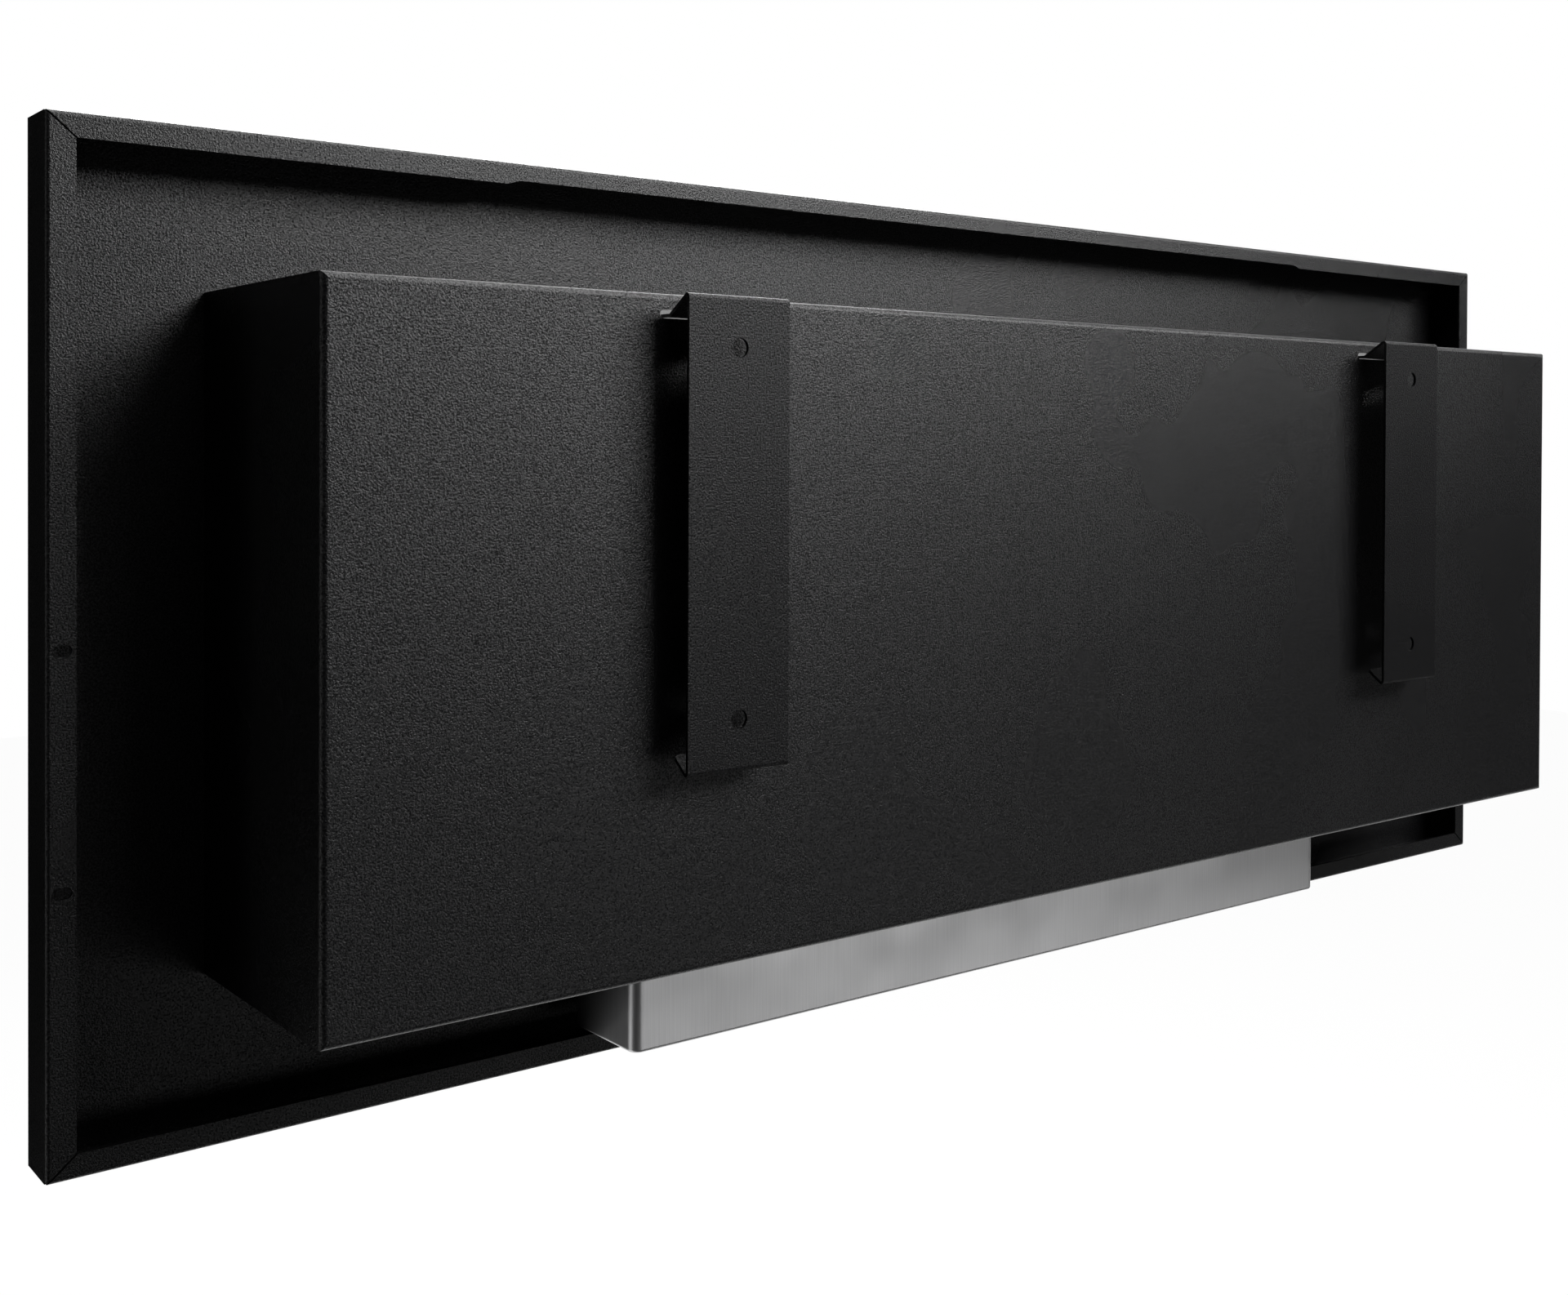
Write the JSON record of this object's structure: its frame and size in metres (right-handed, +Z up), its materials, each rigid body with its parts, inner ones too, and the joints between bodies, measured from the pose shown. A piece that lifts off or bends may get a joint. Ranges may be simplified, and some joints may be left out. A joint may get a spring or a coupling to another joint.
{
  "type": "wall hung bioethanol fireplace",
  "caption": "Wide black sheet-steel fireplace insert with a folded front frame, a shallow firebox, a drop-in stainless burner with sliding shutters, and hooked wall brackets.",
  "frame": {"origin": "centre of the four wall screw holes, on the back faces of the two wall brackets", "axes": "+Z up, -Y the front that faces the room, +Y towards the wall, +X to the right as seen from the front"},
  "size_m": [0.945, 0.136, 0.4],
  "materials": {
    "frame_powder_coat": "fine textured black powder coat",
    "casing_powder_coat": "fine textured black powder coat",
    "bracket_powder_coat": "fine textured black powder coat",
    "brushed_stainless": "brushed",
    "plate_stainless": "brushed lengthwise",
    "perforated_stainless": "satin",
    "turned_steel": "turned",
    "ceramic_wool": "matte fibre",
    "ceramic_gasket": "matte fibre"
  },
  "bodies": {
    "fireplace": {"front_frame": "frame_powder_coat", "firebox_casing": "casing_powder_coat", "top_plate_gasket": "ceramic_gasket"},
    "left_bracket": {"wall_bracket_left": "bracket_powder_coat"},
    "right_bracket": {"wall_bracket_right": "bracket_powder_coat"},
    "burner": {"burner_tray": "brushed_stainless", "fuel_tank": "brushed_stainless", "tank_spacers": "brushed_stainless", "fuel_wool_left": "ceramic_wool", "fuel_wool_right": "ceramic_wool", "wool_retainer": "perforated_stainless", "burner_top_plate": "plate_stainless", "guide_rail_front": "plate_stainless", "guide_rail_rear": "plate_stainless", "rail_rivets": "turned_steel", "shutter_stops": "turned_steel"},
    "left_shutter": {"shutter_left": "plate_stainless", "shutter_knob_left": "turned_steel"},
    "right_shutter": {"shutter_right": "plate_stainless", "shutter_knob_right": "turned_steel"}
  },
  "joints": [
    {"name": "left_bracket_unhook", "type": "slide", "parent": "fireplace", "child": "left_bracket", "axis": [0, 1, 0], "range_m": [0, 0.02]},
    {"name": "right_bracket_unhook", "type": "slide", "parent": "fireplace", "child": "right_bracket", "axis": [0, 1, 0], "range_m": [0, 0.02]},
    {"name": "burner_lift", "type": "slide", "parent": "fireplace", "child": "burner", "axis": [0, 0, 1], "range_m": [0, 0.055]},
    {"name": "left_shutter_slide", "type": "slide", "parent": "burner", "child": "left_shutter", "axis": [1, 0, 0], "range_m": [0, 0.1216]},
    {"name": "right_shutter_slide", "type": "slide", "parent": "burner", "child": "right_shutter", "axis": [-1, 0, 0], "range_m": [0, 0.1216]}
  ]
}
